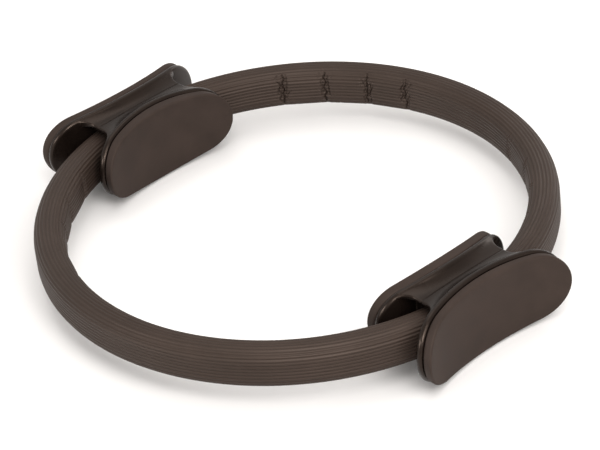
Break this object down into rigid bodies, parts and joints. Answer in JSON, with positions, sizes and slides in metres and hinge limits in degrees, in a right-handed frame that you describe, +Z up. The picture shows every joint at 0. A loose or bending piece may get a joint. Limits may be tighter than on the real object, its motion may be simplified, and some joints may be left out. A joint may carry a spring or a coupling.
{
  "type": "pilates ring",
  "caption": "Springy exercise ring of banded foam-sleeved hoop with spool-shaped handles, padded inside and out, that squeeze towards each other.",
  "frame": {"origin": "on the floor, under the ring's centre, midway between the handles", "axes": "+Z up, along the ring's axis; +Y from the ring's centre to the rear handle; +X to the right sleeve"},
  "size_m": [0.37, 0.4056, 0.059],
  "materials": {
    "sleeve_foam": "matte ribbed foam",
    "spring_band": "glass-fibre laminate, satin",
    "handle_shell": "satin moulded",
    "pad_foam": "matte moulded foam",
    "fasteners": "zinc plated"
  },
  "bodies": {
    "ring": {"right_sleeve": "sleeve_foam", "right_inner_band": "spring_band", "right_outer_band": "spring_band", "left_sleeve": "sleeve_foam", "left_inner_band": "spring_band", "left_outer_band": "spring_band"},
    "front_handle": {"front_outer_shell": "handle_shell", "front_inner_shell": "handle_shell", "front_outer_pad": "pad_foam", "front_inner_pad": "pad_foam", "front_screws": "fasteners", "front_washers": "fasteners", "front_nuts": "fasteners"},
    "rear_handle": {"rear_outer_shell": "handle_shell", "rear_inner_shell": "handle_shell", "rear_outer_pad": "pad_foam", "rear_inner_pad": "pad_foam", "rear_screws": "fasteners", "rear_washers": "fasteners", "rear_nuts": "fasteners"}
  },
  "joints": [
    {"name": "front_squeeze", "type": "slide", "parent": "ring", "child": "front_handle", "axis": [0, 1, 0], "range_m": [-0.015, 0.035], "stiffness_N_per_m": 3000, "deforming": ["right_sleeve", "right_inner_band", "right_outer_band", "left_sleeve", "left_inner_band", "left_outer_band"]},
    {"name": "rear_squeeze", "type": "slide", "parent": "ring", "child": "rear_handle", "axis": [0, -1, 0], "range_m": [-0.015, 0.035], "stiffness_N_per_m": 3000, "deforming": ["right_sleeve", "right_inner_band", "right_outer_band", "left_sleeve", "left_inner_band", "left_outer_band"]}
  ],
  "couplings": [
    {"joint": "rear_squeeze", "follows": "front_squeeze", "ratio": 1}
  ]
}
